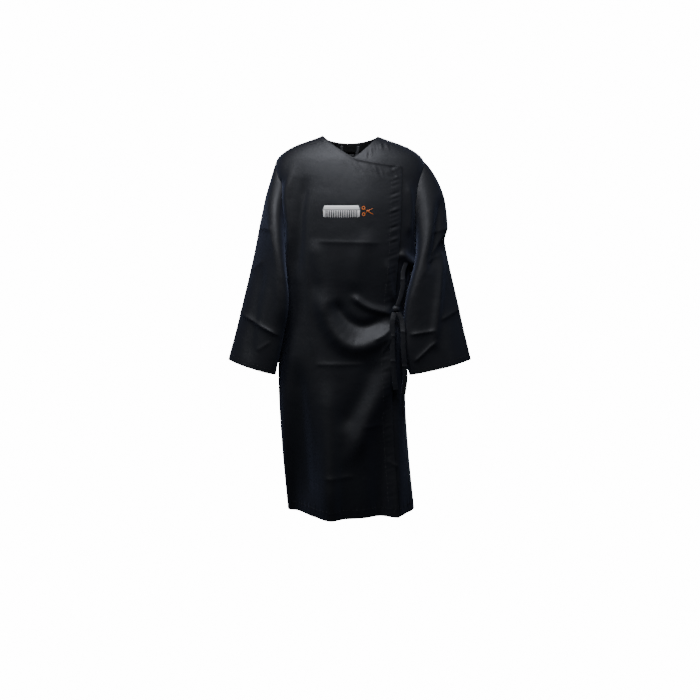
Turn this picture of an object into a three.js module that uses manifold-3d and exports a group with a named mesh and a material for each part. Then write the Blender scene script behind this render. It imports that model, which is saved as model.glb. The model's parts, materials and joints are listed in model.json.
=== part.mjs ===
// Long-sleeved wrap gown of a barber or salon: two overlapping fronts, a back, two sleeves and a tie.
// Millimetres. X runs across the wearer, -Y is the front, +Z is up.
// The origin is the middle of the neck opening, level with the sides of the neck.
import * as THREE from 'three';
import { mergeVertices } from 'three/addons/utils/BufferGeometryUtils.js';
import Module from 'manifold-3d';

const wasm = await Module();
wasm.setup();

// ---------------------------------------------------------------- driving dimensions
const GOWN_LENGTH = 1062;          // side of the neck to the hem
const NECK_HALF_WIDTH = 77;
const SHOULDER_HALF_WIDTH = 207;   // middle to the armhole seam
const SHOULDER_DROP = 68;          // neck side down to the armhole seam
const ARMHOLE_BOTTOM = 330;        // below the neck side
const ARMHOLE_HALF_DEPTH = 52;
const CHEST_FRONT = 106;           // depth in front of the side seams
const CHEST_BACK = 112;
const WAIST_HALF_WIDTH_FREE = 196; // the side that hangs free
const WAIST_HALF_WIDTH_TIED = 160; // the side that the tie pulls in
const HIP_HALF_WIDTH_FREE = 205;
const HIP_HALF_WIDTH_TIED = 157;
const HEM_HALF_WIDTH_FREE = 181;
const HEM_HALF_WIDTH_TIED = 187;
const HEM_FRONT = 136;
const HEM_BACK = 126;
const SIDE_SEAM_Y = 10;            // the side seams lie this far behind the neck's middle
const SECTION_POWER = 2.3;         // squareness of the body's section

const CUFF_OUTER_REACH = 342;      // middle to the outer corner of the cuff
const CUFF_OUTER_DROP = 621;
const CUFF_INNER_DROP = 657;
const CUFF_HALF_DEPTH = 36;
const SLEEVE_FORWARD = 72;         // how far in front of the neck's middle the cuff's inner end hangs

const V_NECK_X = 8;                // where the two necklines cross
const V_NECK_DROP = 53;
const FRONT_EDGE_SHARE = 0.69;     // place of the outer front's edge, as a share of the half width
const FRONT_CORNER_DROP = 83;      // top corner of the outer front

const CLOTH = 1.2;                 // thickness of the cloth solids
const TRIM = 0.8;                  // thickness of facings, hems and seams
const WRAP_GAP = 8;                // outer front stands this far over the inner one
const TRIM_INSET = 2.4;            // hems and bands lie this far inside their cloth
const FACING_INSET = 4.6;          // neck facings, where the cloth curves more
const SEAM_INSET = 6.5;            // seam allowances, which stand off the cloth
const ARMHOLE_SEAM_INSET = 9;
const SEAM_GAP = 1;                // between neighbouring panels
const HEM_HEIGHT = 25;
const CUFF_HEM_HEIGHT = 18;
const EDGE_BAND_WIDTH = 28;
const NECK_FACING_WIDTH = 26;
const SEAM_HALF_WIDTH = 8;

const CORNER_CUT_TOP = 736;        // where the loose corner of the outer front starts, on its edge
const CORNER_CUT_X = -28;          // and on the hem
const CORNER_GAP = 0.8;

const TIE_WIDTH = 15;
const TIE_THICKNESS = 1.6;
const KNOT_CENTRE = new THREE.Vector3(126, -82, -473);
const KNOT_SIZE = new THREE.Vector3(24, 16, 22);
const LOOP_WIDTH = 44;
const LOOP_DROP = 42;
const LOOP_TAPE = 8;
const SIZE_LABEL = { width: 24, height: 30 };
const CARE_LABEL = { width: 30, height: 52 };
const EMBLEM = { x: -4, z: -206, width: 140, height: 41, accentWidth: 34 };

// ---------------------------------------------------------------- small helpers
const lerp = THREE.MathUtils.lerp;
const smooth = (value, low, high) => THREE.MathUtils.smoothstep(value, low, high);

// A smooth curve through [place, value] pairs, read at any place between them.
function through(pairs) {
  const sorted = [...pairs].sort((a, b) => a[0] - b[0]);
  const places = sorted.map((pair) => pair[0]);
  const values = sorted.map((pair) => pair[1]);
  const slopes = places.map((place, i) => {
    const before = Math.max(i - 1, 0);
    const after = Math.min(i + 1, places.length - 1);
    return (values[after] - values[before]) / (places[after] - places[before]);
  });
  return (place) => {
    if (place <= places[0]) return values[0];
    if (place >= places[places.length - 1]) return values[values.length - 1];
    const i = places.findIndex((edge) => edge > place) - 1;
    const step = places[i + 1] - places[i];
    const t = (place - places[i]) / step;
    const a = (2 * t * t * t) - (3 * t * t) + 1;
    const b = (t * t * t) - (2 * t * t) + t;
    const c = (3 * t * t) - (2 * t * t * t);
    const d = (t * t * t) - (t * t);
    return (a * values[i]) + (b * step * slopes[i]) + (c * values[i + 1]) + (d * step * slopes[i + 1]);
  };
}

// ---------------------------------------------------------------- the body's shape
// Half widths and depths of the level section at each height below the neck.
const SHOULDER_MIDDLE = SHOULDER_DROP * 0.47;
const TIE_HEIGHT = -KNOT_CENTRE.z;
const HIP_DROP = 660;
const CHEST_DROP = 200;
const neckToShoulder = lerp(NECK_HALF_WIDTH, SHOULDER_HALF_WIDTH, 0.68);
const shoulderWidths = [
  [0, NECK_HALF_WIDTH],
  [-SHOULDER_MIDDLE, neckToShoulder],
  [-SHOULDER_DROP, SHOULDER_HALF_WIDTH],
  [-SHOULDER_DROP - 70, SHOULDER_HALF_WIDTH - 2],
  [-CHEST_DROP, SHOULDER_HALF_WIDTH - 7],
];
const halfWidthFree = through([
  ...shoulderWidths,
  [-ARMHOLE_BOTTOM, SHOULDER_HALF_WIDTH - 19],
  [-TIE_HEIGHT, WAIST_HALF_WIDTH_FREE],
  [-HIP_DROP, HIP_HALF_WIDTH_FREE],
  [-GOWN_LENGTH, HEM_HALF_WIDTH_FREE],
]);
const halfWidthTied = through([
  ...shoulderWidths,
  [-ARMHOLE_BOTTOM, SHOULDER_HALF_WIDTH - 21],
  [-TIE_HEIGHT, WAIST_HALF_WIDTH_TIED],
  [-HIP_DROP, HIP_HALF_WIDTH_TIED],
  [-GOWN_LENGTH, HEM_HALF_WIDTH_TIED],
]);
const frontDepth = through([
  [0, CHEST_FRONT - 58],
  [-SHOULDER_MIDDLE, CHEST_FRONT - 40],
  [-SHOULDER_DROP, CHEST_FRONT - 24],
  [-SHOULDER_DROP - 70, CHEST_FRONT - 8],
  [-CHEST_DROP, CHEST_FRONT],
  [-ARMHOLE_BOTTOM, CHEST_FRONT + 2],
  [-TIE_HEIGHT, CHEST_FRONT - 6],
  [-HIP_DROP, CHEST_FRONT + 6],
  [-GOWN_LENGTH, HEM_FRONT],
]);
const backDepth = through([
  [0, CHEST_BACK - 52],
  [-SHOULDER_MIDDLE, CHEST_BACK - 36],
  [-SHOULDER_DROP, CHEST_BACK - 20],
  [-SHOULDER_DROP - 70, CHEST_BACK - 6],
  [-CHEST_DROP, CHEST_BACK],
  [-ARMHOLE_BOTTOM, CHEST_BACK],
  [-TIE_HEIGHT, CHEST_BACK - 4],
  [-HIP_DROP, CHEST_BACK + 4],
  [-GOWN_LENGTH, HEM_BACK],
]);

// Rows of flat facets down a body panel.
const PANEL_ROWS = Math.round(GOWN_LENGTH / 66);
const halfWidth = (side, z) => (side < 0 ? halfWidthFree(z) : halfWidthTied(z));
const depth = (isBack, z) => (isBack ? backDepth(z) : frontDepth(z));

// A place on the body: angle 0 is the middle of the front, -90 and 90 the side seams, 180 the back.
function bodyPoint(angle, z) {
  const turn = THREE.MathUtils.degToRad(angle);
  const across = Math.sin(turn);
  const along = Math.cos(turn);
  const power = 2 / SECTION_POWER;
  const x = Math.sign(across) * halfWidth(across, z) * Math.abs(across) ** power;
  const y = SIDE_SEAM_Y - (Math.sign(along) * depth(along < 0, z) * Math.abs(along) ** power);
  return new THREE.Vector3(x, y, z);
}

// How far out the body's side is at a height and a depth.
function bodyReach(side, y, z) {
  const share = Math.abs(y - SIDE_SEAM_Y) / depth(y > SIDE_SEAM_Y, z);
  return halfWidth(side, z) * Math.max(1 - share ** SECTION_POWER, 0) ** (1 / SECTION_POWER);
}

function bodyLevel(point) {
  const reach = Math.abs(point.x) / halfWidth(point.x, point.z);
  const deep = Math.abs(point.y - SIDE_SEAM_Y) / depth(point.y > SIDE_SEAM_Y, point.z);
  return (reach ** SECTION_POWER) + (deep ** SECTION_POWER);
}

function bodyNormal(point) {
  const step = 0.5;
  const slope = (x, y, z) => bodyLevel(point.clone().add(new THREE.Vector3(x, y, z)))
    - bodyLevel(point.clone().sub(new THREE.Vector3(x, y, z)));
  return new THREE.Vector3(slope(step, 0, 0), slope(0, step, 0), slope(0, 0, step)).normalize();
}

// The angle at which the body's section reaches a given distance from the middle.
function angleAtX(x, z) {
  const share = Math.min(Math.abs(x) / halfWidth(x, z), 1);
  return Math.sign(x) * THREE.MathUtils.radToDeg(Math.asin(share ** (SECTION_POWER / 2)));
}

const armholeMiddle = -(SHOULDER_DROP + ARMHOLE_BOTTOM) / 2;
const armholeHalfHeight = (ARMHOLE_BOTTOM - SHOULDER_DROP) / 2;

// How many degrees the armhole takes from a panel's side edge at a height.
function armholeInset(isBack, z) {
  const share = (z - armholeMiddle) / (armholeHalfHeight + SEAM_GAP);
  if (Math.abs(share) >= 1) return 0;
  const opening = (ARMHOLE_HALF_DEPTH + SEAM_GAP) * Math.sqrt(1 - (share * share));
  const away = Math.min(opening / depth(isBack, z), 1) ** (SECTION_POWER / 2);
  return THREE.MathUtils.radToDeg(Math.asin(away));
}

// Degrees that stand for a length along the section, close to the side seam.
const sideDegrees = (length, isBack, z) => {
  const away = Math.min(length / depth(isBack, z), 1) ** (SECTION_POWER / 2);
  return THREE.MathUtils.radToDeg(Math.asin(away));
};

// ---------------------------------------------------------------- necklines
const outerNeckline = through([
  [-NECK_HALF_WIDTH, 0],
  [-35, -28],
  [V_NECK_X, -V_NECK_DROP],
  [33, -63],
  [85, -75],
  [143, -FRONT_CORNER_DROP],
]);
const innerNeckline = through([
  [NECK_HALF_WIDTH, 0],
  [45, -28],
  [V_NECK_X, -V_NECK_DROP],
  [-40, -72],
  [-130, -92],
]);
const BACK_NECK_DIP = 14;
const backNeckline = (x) => -BACK_NECK_DIP * Math.max(1 - ((x / NECK_HALF_WIDTH) ** 2), 0);

// Height at which a neckline, lowered by a distance, meets the line of one angle on the body.
function necklineHeight(neckline, angle, lowered) {
  let high = 0;
  let low = -300;
  for (let i = 0; i < 40; i += 1) {
    const middle = (high + low) / 2;
    if (middle > neckline(bodyPoint(angle, middle).x) - lowered) high = middle;
    else low = middle;
  }
  return (high + low) / 2;
}

// ---------------------------------------------------------------- making solids
function outward(geometry) {
  const corner = geometry.attributes.position;
  const index = geometry.index;
  const a = new THREE.Vector3();
  const b = new THREE.Vector3();
  const c = new THREE.Vector3();
  let volume = 0;
  for (let i = 0; i < index.count; i += 3) {
    a.fromBufferAttribute(corner, index.getX(i));
    b.fromBufferAttribute(corner, index.getX(i + 1));
    c.fromBufferAttribute(corner, index.getX(i + 2));
    volume += a.dot(b.cross(c));
  }
  if (volume < 0) {
    for (let i = 0; i < index.count; i += 3) {
      const first = index.getX(i);
      index.setX(i, index.getX(i + 2));
      index.setX(i + 2, first);
    }
  }
  return geometry;
}

function welded(geometry) {
  const bare = geometry.clone();
  bare.deleteAttribute('normal');
  bare.deleteAttribute('uv');
  return outward(mergeVertices(bare, 1e-4));
}

// A thin sheet: a flat box whose corners are carried onto a surface and thickened along its normal.
function bentSheet(across, down, thickness, place) {
  const geometry = new THREE.BoxGeometry(1, 1, 1, across, 1, down);
  const corner = geometry.attributes.position;
  for (let i = 0; i < corner.count; i += 1) {
    const { point, normal } = place(corner.getX(i) + 0.5, corner.getZ(i) + 0.5);
    point.addScaledVector(normal, corner.getY(i) * thickness);
    corner.setXYZ(i, point.x, point.y, point.z);
  }
  return welded(geometry);
}

function onBody(angle, z, offset) {
  const point = bodyPoint(angle, z);
  const normal = bodyNormal(point);
  point.addScaledVector(normal, offset);
  return { point, normal };
}

function toManifold(geometry) {
  const vertProperties = new Float32Array(geometry.attributes.position.array);
  const triVerts = new Uint32Array(geometry.index.array);
  return new wasm.Manifold(new wasm.Mesh({ numProp: 3, vertProperties, triVerts }));
}

function fromManifold(solid) {
  const mesh = solid.getMesh();
  const geometry = new THREE.BufferGeometry();
  geometry.setAttribute('position', new THREE.BufferAttribute(new Float32Array(mesh.vertProperties), 3));
  geometry.setIndex(new THREE.BufferAttribute(new Uint32Array(mesh.triVerts), 1));
  return geometry;
}

const gown = new THREE.Group();

function add(name, geometry, colour, roughness) {
  const material = new THREE.MeshStandardMaterial({ color: colour, roughness, metalness: 0 });
  const mesh = new THREE.Mesh(geometry, material);
  mesh.name = name;
  gown.add(mesh);
  return mesh;
}

const SATIN = 0x17181c;
const TAPE = 0x1c1d21;
const THREAD = 0x0f1013;
const WHITE_FILM = 0xe9e6e1;
const ORANGE_FILM = 0xe0701e;
const LABEL_BLACK = 0x1a1a1d;

// ---------------------------------------------------------------- body panels
const EDGE_ANGLE = THREE.MathUtils.radToDeg(Math.asin(FRONT_EDGE_SHARE));
const INNER_EDGE_ANGLE = -38;
const TOP_CROWDING = 1.5;          // rows lie closer together towards the shoulders
const SIDE_CROWDING = 0.6;         // and columns towards a panel's two edges

// The outer front lifts off the body's surface where it passes over the inner one.
const outerOffset = (angle) => WRAP_GAP * smooth(angle, -82, -50);

// Rows of a panel from its neckline to the hem, columns between two angles.
function bodyPanel({ from, to, neckline, isBack, offset, columns, rows }) {
  return bentSheet(columns, rows, CLOTH, (u, v) => {
    const nominal = lerp(from, to, u);
    const top = necklineHeight(neckline, nominal, 0);
    const z = lerp(top, -GOWN_LENGTH, v ** TOP_CROWDING);
    const seam = sideDegrees(SEAM_GAP / 2, isBack, z);
    const inset = Math.max(armholeInset(isBack, z), seam);
    const startsAtSide = Math.abs(Math.abs(from) - 90) < 1 || Math.abs(from - 270) < 1;
    const endsAtSide = Math.abs(Math.abs(to) - 90) < 1 || Math.abs(to - 270) < 1;
    const direction = Math.sign(to - from);
    const low = startsAtSide ? from + (direction * inset) : from;
    const high = endsAtSide ? to - (direction * inset) : to;
    const crowded = lerp(u, (1 - Math.cos(Math.PI * u)) / 2, SIDE_CROWDING);
    const angle = lerp(low, high, crowded);
    return onBody(angle, z, offset(angle));
  });
}

// The loose corner is split from the outer front along a slanting line.
function cornerPrism(grow) {
  const outside = SHOULDER_HALF_WIDTH * 2;
  const edgeX = bodyPoint(EDGE_ANGLE, -CORNER_CUT_TOP).x;
  const slope = (GOWN_LENGTH - CORNER_CUT_TOP) / (edgeX - CORNER_CUT_X);
  const shift = new THREE.Vector2(-slope, 1).normalize().multiplyScalar(grow);
  const lineZ = (x) => -CORNER_CUT_TOP + ((x - edgeX) * slope);
  const startX = CORNER_CUT_X - 60;
  const shape = new THREE.Shape();
  shape.moveTo(startX + shift.x, lineZ(startX) + shift.y);
  shape.lineTo(outside, lineZ(startX) + shift.y - 1);
  shape.lineTo(outside + shift.x, lineZ(outside) + shift.y);
  const prism = new THREE.ExtrudeGeometry(shape, { depth: SHOULDER_HALF_WIDTH, bevelEnabled: false });
  prism.rotateX(Math.PI / 2);
  return toManifold(welded(prism));
}

function splitCorner(geometry) {
  const whole = toManifold(geometry);
  const corner = fromManifold(whole.intersect(cornerPrism(-CORNER_GAP / 2)));
  const rest = fromManifold(whole.subtract(cornerPrism(CORNER_GAP / 2)));
  return { corner, rest };
}

const outerFront = splitCorner(bodyPanel({
  from: -90, to: EDGE_ANGLE, neckline: outerNeckline, isBack: false,
  offset: outerOffset, columns: 14, rows: PANEL_ROWS,
}));
add('outer_front', outerFront.rest, SATIN, 0.45);
add('outer_front_corner', outerFront.corner, SATIN, 0.45);

add('inner_front', bodyPanel({
  from: 90, to: INNER_EDGE_ANGLE, neckline: innerNeckline, isBack: false,
  offset: () => 0, columns: 13, rows: PANEL_ROWS,
}), SATIN, 0.45);

add('back_panel', bodyPanel({
  from: 90, to: 270, neckline: backNeckline, isBack: true, offset: () => 0, columns: 18, rows: PANEL_ROWS,
}), SATIN, 0.45);

// ---------------------------------------------------------------- hems, facings and bands
function bottomHem(from, to, offset, columns) {
  return bentSheet(columns, 1, TRIM, (u, v) => {
    const z = lerp(-GOWN_LENGTH + HEM_HEIGHT, -GOWN_LENGTH + 1, v);
    const angle = lerp(from, to, u);
    return onBody(angle, z, offset(angle) - TRIM_INSET);
  });
}
const SIDE_CLEAR = 8;              // degrees that a hem keeps from the side seam's allowance
const outerHem = splitCorner(bottomHem(-90 + SIDE_CLEAR, EDGE_ANGLE - 1, outerOffset, 13));
add('outer_front_hem', outerHem.rest, SATIN, 0.5);
add('corner_hem', outerHem.corner, SATIN, 0.5);
add('inner_front_hem', bottomHem(90 - SIDE_CLEAR, INNER_EDGE_ANGLE + 12, () => 0, 12), SATIN, 0.5);
add('back_hem', bottomHem(90 + SIDE_CLEAR, 270 - SIDE_CLEAR, () => 0, 16), SATIN, 0.5);

// A band down a front edge, from the neck facing to just above the hem.
function edgeBand(angle, towards, neckline, offset) {
  const top = necklineHeight(neckline, angle, NECK_FACING_WIDTH + 3);
  const bottom = -GOWN_LENGTH + HEM_HEIGHT + 2;
  return bentSheet(1, 16, TRIM, (u, v) => {
    const z = lerp(top, bottom, v ** TOP_CROWDING);
    const edge = bodyPoint(angle, z).x - (Math.sign(towards) * 1.5);
    const x = edge + (towards * EDGE_BAND_WIDTH * u);
    const here = angleAtX(x, z);
    return onBody(here, z, offset(here) - TRIM_INSET);
  });
}
const outerBand = splitCorner(edgeBand(EDGE_ANGLE, -1, outerNeckline, outerOffset));
add('outer_edge_band', outerBand.rest, TAPE, 0.5);
add('corner_edge_band', outerBand.corner, TAPE, 0.5);
add('inner_edge_band', edgeBand(INNER_EDGE_ANGLE, 1, innerNeckline, () => 0), TAPE, 0.5);

// A facing that follows a neckline on the inside of the cloth.
function neckFacing(from, to, neckline, offset, columns) {
  return bentSheet(columns, 2, TRIM, (u, v) => {
    const angle = lerp(from, to, u);
    const z = necklineHeight(neckline, angle, lerp(1, NECK_FACING_WIDTH, v));
    return onBody(angle, z, offset(angle) - FACING_INSET);
  });
}
const SHOULDER_CLEAR = 26;         // degrees kept from the shoulder seam's allowance
add('outer_neck_facing',
  neckFacing(-90 + SHOULDER_CLEAR, EDGE_ANGLE - 1, outerNeckline, outerOffset, 16), TAPE, 0.5);
add('inner_neck_facing',
  neckFacing(90 - SHOULDER_CLEAR, INNER_EDGE_ANGLE + 2, innerNeckline, () => 0, 16), TAPE, 0.5);
add('back_neck_tape',
  neckFacing(90 + SHOULDER_CLEAR, 270 - SHOULDER_CLEAR, backNeckline, () => 0, 14), TAPE, 0.5);

// ---------------------------------------------------------------- seams of the body
function seamStrip(side, top, bottom, rows) {
  return bentSheet(2, rows, TRIM, (u, v) => {
    const z = lerp(top, bottom, v);
    const away = lerp(-SEAM_HALF_WIDTH, SEAM_HALF_WIDTH, u);
    const y = SIDE_SEAM_Y + away;
    const point = new THREE.Vector3(side * bodyReach(side, y, z), y, z);
    const normal = bodyNormal(point);
    point.addScaledVector(normal, -SEAM_INSET);
    return { point, normal };
  });
}
function armholeSeam(side) {
  const rings = 28;
  return bentSheet(rings, 1, TRIM, (u, v) => {
    const turn = (u * 2 * Math.PI * 0.998);
    const grow = lerp(2, 2 + SEAM_HALF_WIDTH, v);
    const z = armholeMiddle + ((armholeHalfHeight + grow) * Math.cos(turn));
    const y = SIDE_SEAM_Y + ((ARMHOLE_HALF_DEPTH + grow) * Math.sin(turn));
    const point = new THREE.Vector3(side * bodyReach(side, y, z), y, z);
    const normal = bodyNormal(point);
    point.addScaledVector(normal, -ARMHOLE_SEAM_INSET);
    return { point, normal };
  });
}
const SIDES = [['right', -1], ['left', 1]];
for (const [name, side] of SIDES) {
  add(`${name}_shoulder_seam`, seamStrip(side, -5, -SHOULDER_DROP + SEAM_HALF_WIDTH + 5, 4), THREAD, 0.7);
  add(`${name}_side_seam`,
    seamStrip(side, -ARMHOLE_BOTTOM - SEAM_HALF_WIDTH - 5, -GOWN_LENGTH + 1, 14), THREAD, 0.7);
  add(`${name}_armhole_seam`, armholeSeam(side), THREAD, 0.7);
}

// ---------------------------------------------------------------- sleeves
// Heights and reaches part of the way from the shoulder or the armhole's bottom to the cuff.
const outerDrop = (share) => -lerp(SHOULDER_DROP, CUFF_OUTER_DROP, share);
const outerReach = (share) => lerp(SHOULDER_HALF_WIDTH, CUFF_OUTER_REACH, share);
const innerDrop = (share) => -lerp(ARMHOLE_BOTTOM, CUFF_INNER_DROP, share);
const vector = (x, y, z) => new THREE.Vector3(x, y, z);
const curveThrough = (...points) => new THREE.CatmullRomCurve3(points);

// The outer fold of each sleeve, from the shoulder to the cuff; the left one bows out as if over an elbow.
const outerFolds = {
  right: curveThrough(
    vector(-outerReach(0) - 1.5, SIDE_SEAM_Y, outerDrop(0) - 3),
    vector(-outerReach(0) - 20, 2, outerDrop(0.13)),
    vector(-outerReach(0.47), -12, outerDrop(0.47)),
    vector(-outerReach(0.78), -24, outerDrop(0.78)),
    vector(-CUFF_OUTER_REACH, -32, -CUFF_OUTER_DROP),
  ),
  left: curveThrough(
    vector(outerReach(0) + 1.5, SIDE_SEAM_Y, outerDrop(0) - 3),
    vector(outerReach(0) + 29, 8, outerDrop(0.047)),
    vector(outerReach(0) + 54, 4, outerDrop(0.145)),
    vector(outerReach(0) + 67, -4, outerDrop(0.324)),
    vector(outerReach(0) + 64, -8, outerDrop(0.407)),
    vector(outerReach(0.78), -20, outerDrop(0.78)),
    vector(CUFF_OUTER_REACH, -28, -CUFF_OUTER_DROP),
  ),
};

// The inner fold of each sleeve hangs in front of the body's side, a clearance away from its cloth;
// each place is so far in from the side of the body at its height.
function innerSpot(side, share, inFromSide, y) {
  const z = innerDrop(share);
  return vector(side * (halfWidth(side, z) - inFromSide), y, z);
}
const innerFolds = {
  right: curveThrough(
    innerSpot(-1, 0, -3, SIDE_SEAM_Y),
    innerSpot(-1, 0.14, 1.1, -52),
    innerSpot(-1, 0.36, 17.4, -SLEEVE_FORWARD),
    innerSpot(-1, 0.64, 16.4, -SLEEVE_FORWARD),
    innerSpot(-1, 1, -2.9, -SLEEVE_FORWARD),
  ),
  left: curveThrough(
    innerSpot(1, 0, -3, SIDE_SEAM_Y),
    innerSpot(1, 0.14, 3.5, -38),
    innerSpot(1, 0.34, 8.2, -65),
    innerSpot(1, 0.6, 9.5, -SLEEVE_FORWARD),
    innerSpot(1, 0.78, 8.2, -SLEEVE_FORWARD - 3),
    innerSpot(1, 1, -10.1, -SLEEVE_FORWARD - 4),
  ),
};
const BEHIND_SHARE = 0.4;          // how much of its depth a sleeve keeps behind its inner fold
const SLEEVE_START_GAP = 2.8;      // between a body panel's armhole edge and the sleeve

function sleevePoint(name, side, turn, down) {
  const armZ = armholeMiddle + ((armholeHalfHeight - SEAM_GAP) * Math.cos(turn));
  const armY = SIDE_SEAM_Y + ((ARMHOLE_HALF_DEPTH - SEAM_GAP) * Math.sin(turn));
  const start = new THREE.Vector3(side * (bodyReach(side, armY, armZ) + SLEEVE_START_GAP), armY, armZ);

  const outer = outerFolds[name].getPointAt(down);
  const inner = innerFolds[name].getPointAt(down);
  const ring = outer.clone().add(inner).multiplyScalar(0.5);
  ring.addScaledVector(outer.clone().sub(inner), Math.cos(turn) / 2);
  const depth = lerp(ARMHOLE_HALF_DEPTH, CUFF_HALF_DEPTH, down) * Math.sin(turn);
  const towardsOuterFold = (1 + Math.cos(turn)) / 2;
  ring.y += depth > 0 ? depth * lerp(BEHIND_SHARE, 1, towardsOuterFold) : depth;
  return start.lerp(ring, smooth(down, 0, 0.22));
}

function onSleeve(name, side, turn, down, offset) {
  const step = 0.002;
  const point = sleevePoint(name, side, turn, down);
  const around = sleevePoint(name, side, turn + step, down).sub(sleevePoint(name, side, turn - step, down));
  const low = Math.min(down + step, 1);
  const high = Math.max(down - step, 0);
  const along = sleevePoint(name, side, turn, low).sub(sleevePoint(name, side, turn, high));
  const normal = around.cross(along).normalize();
  const innerEnd = sleevePoint(name, side, Math.PI, down);
  const middle = sleevePoint(name, side, 0, down).add(innerEnd).multiplyScalar(0.5);
  if (normal.dot(point.clone().sub(middle)) < 0) normal.negate();
  point.addScaledVector(normal, offset);
  return { point, normal };
}

const SLIT = 0.02;                 // half of the sleeve's opening at the underarm seam, in radians
for (const [name, side] of SIDES) {
  const turnAt = (u) => lerp(-Math.PI + SLIT, Math.PI - SLIT, u);
  add(`${name}_sleeve`,
    bentSheet(22, 10, CLOTH, (u, v) => onSleeve(name, side, turnAt(u), v, 0)), SATIN, 0.45);
  const sleeveLength = outerFolds[name].getLength();
  const hemTop = 1 - (CUFF_HEM_HEIGHT / sleeveLength);
  add(`${name}_cuff_hem`, bentSheet(22, 1, TRIM, (u, v) => {
    const turn = lerp(-Math.PI + 0.32, Math.PI - 0.32, u);
    return onSleeve(name, side, turn, lerp(hemTop, 0.998, v), -TRIM_INSET);
  }), SATIN, 0.5);
  add(`${name}_underarm_seam`, bentSheet(2, 10, TRIM, (u, v) => {
    const turn = Math.PI + lerp(-0.08, 0.08, u);
    return onSleeve(name, side, turn, lerp(0.2, 0.99, v), -TRIM_INSET - 1);
  }), THREAD, 0.7);
}

// ---------------------------------------------------------------- tie
// A flat tape along a curve; its width lies along one fixed direction.
function tape(points, width, thickness, wide, steps) {
  const curve = new THREE.CatmullRomCurve3(points);
  return bentSheet(1, steps, thickness, (u, v) => {
    const tangent = curve.getTangentAt(v);
    const across = wide.clone().addScaledVector(tangent, -wide.dot(tangent)).normalize();
    const normal = tangent.clone().cross(across).normalize();
    const point = curve.getPointAt(v).addScaledVector(across, lerp(-width / 2, width / 2, u));
    return { point, normal };
  });
}
const wideFront = vector(1, 0.15, 0);
const wideSide = vector(0.75, 0.66, 0);

// A place in front of the tied side: so far in from the body's side and so far off its front.
function tieSpot(inFromSide, off, z) {
  const x = halfWidthTied(z) - inFromSide;
  return vector(x, bodyPoint(angleAtX(x, z), z).y - off, z);
}
const sideTieRoute = [
  tieSpot(26.4, 2.8, -340),
  tieSpot(29.9, 5.2, -354),
  tieSpot(31.4, 11, -376),
  tieSpot(25.2, 22.3, -405),
  tieSpot(24.9, 28.1, -437),
  vector(KNOT_CENTRE.x + 6, KNOT_CENTRE.y - 1, KNOT_CENTRE.z + 13),
];
const outerTailRoute = [
  vector(119, -85, -487),
  vector(117, -90, -505),
  vector(116, -93, -538),
  vector(118, -94, -599),
  vector(124, -95, -679),
  vector(128, -94, -698),
];
const sideTailRoute = [
  vector(137, -83, -487),
  vector(143, -87, -505),
  vector(146, -94, -538),
  vector(147, -96, -579),
  vector(153, -95, -659),
  vector(148, -94, -708),
];
add('side_tie', tape(sideTieRoute, TIE_WIDTH, TIE_THICKNESS, wideSide, 12), TAPE, 0.5);
add('outer_tie_tail', tape(outerTailRoute, TIE_WIDTH, TIE_THICKNESS, wideFront, 16), TAPE, 0.5);
add('side_tie_tail', tape(sideTailRoute, TIE_WIDTH - 1, TIE_THICKNESS, wideFront, 16), TAPE, 0.5);

const knot = new THREE.SphereGeometry(0.5, 14, 9);
knot.scale(KNOT_SIZE.x, KNOT_SIZE.y, KNOT_SIZE.z);
knot.translate(KNOT_CENTRE.x, KNOT_CENTRE.y, KNOT_CENTRE.z);
add('tie_knot', welded(knot), TAPE, 0.5);

// ---------------------------------------------------------------- loop, labels and emblem
const backInside = (x, z) => SIDE_SEAM_Y + (backDepth(z) * (1 - ((Math.abs(x) / halfWidthFree(z)) ** 2)));
const loopTop = -BACK_NECK_DIP - 8;
const loopRoute = [
  vector(-LOOP_WIDTH / 2, backInside(LOOP_WIDTH / 2, loopTop) - 9, loopTop),
  vector(-LOOP_WIDTH / 2, backInside(LOOP_WIDTH / 2, loopTop) - 10, loopTop - (LOOP_DROP * 0.6)),
  vector(0, backInside(LOOP_WIDTH / 2, loopTop) - 10, loopTop - LOOP_DROP),
  vector(LOOP_WIDTH / 2, backInside(LOOP_WIDTH / 2, loopTop) - 10, loopTop - (LOOP_DROP * 0.6)),
  vector(LOOP_WIDTH / 2, backInside(LOOP_WIDTH / 2, loopTop) - 9, loopTop),
];
add('hanger_loop', bentSheet(1, 14, TRIM, (u, v) => {
  const curve = new THREE.CatmullRomCurve3(loopRoute);
  const normal = vector(0, 1, 0);
  const tangent = curve.getTangentAt(v);
  const across = tangent.clone().cross(normal).normalize();
  const point = curve.getPointAt(v).addScaledVector(across, lerp(-LOOP_TAPE / 2, LOOP_TAPE / 2, u));
  return { point, normal };
}), TAPE, 0.5);

function bodyPatch(x, z, width, height, offset, columns, rows, isBack) {
  return bentSheet(columns, rows, 0.5, (u, v) => {
    const here = x + lerp(-width / 2, width / 2, u);
    const heightHere = z + lerp(height / 2, -height / 2, v);
    const angle = angleAtX(here, heightHere);
    return onBody(isBack ? 180 - angle : angle, heightHere, offset);
  });
}
add('size_label', bodyPatch(0, -BACK_NECK_DIP - NECK_FACING_WIDTH - 18, SIZE_LABEL.width, SIZE_LABEL.height,
  -TRIM_INSET - 1, 2, 3, true), LABEL_BLACK, 0.6);

const careLabelAngle = 100;
add('care_label', bentSheet(1, 3, 0.5, (u, v) => {
  const z = -CHEST_DROP - 420 + lerp(0, -CARE_LABEL.height, v);
  const start = onBody(careLabelAngle, z, -TRIM_INSET - 2);
  const along = vector(-0.55, -0.83, 0);
  start.point.addScaledVector(along, u * CARE_LABEL.width);
  start.normal = vector(0.83, -0.55, 0);
  return start;
}), LABEL_BLACK, 0.6);

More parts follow.
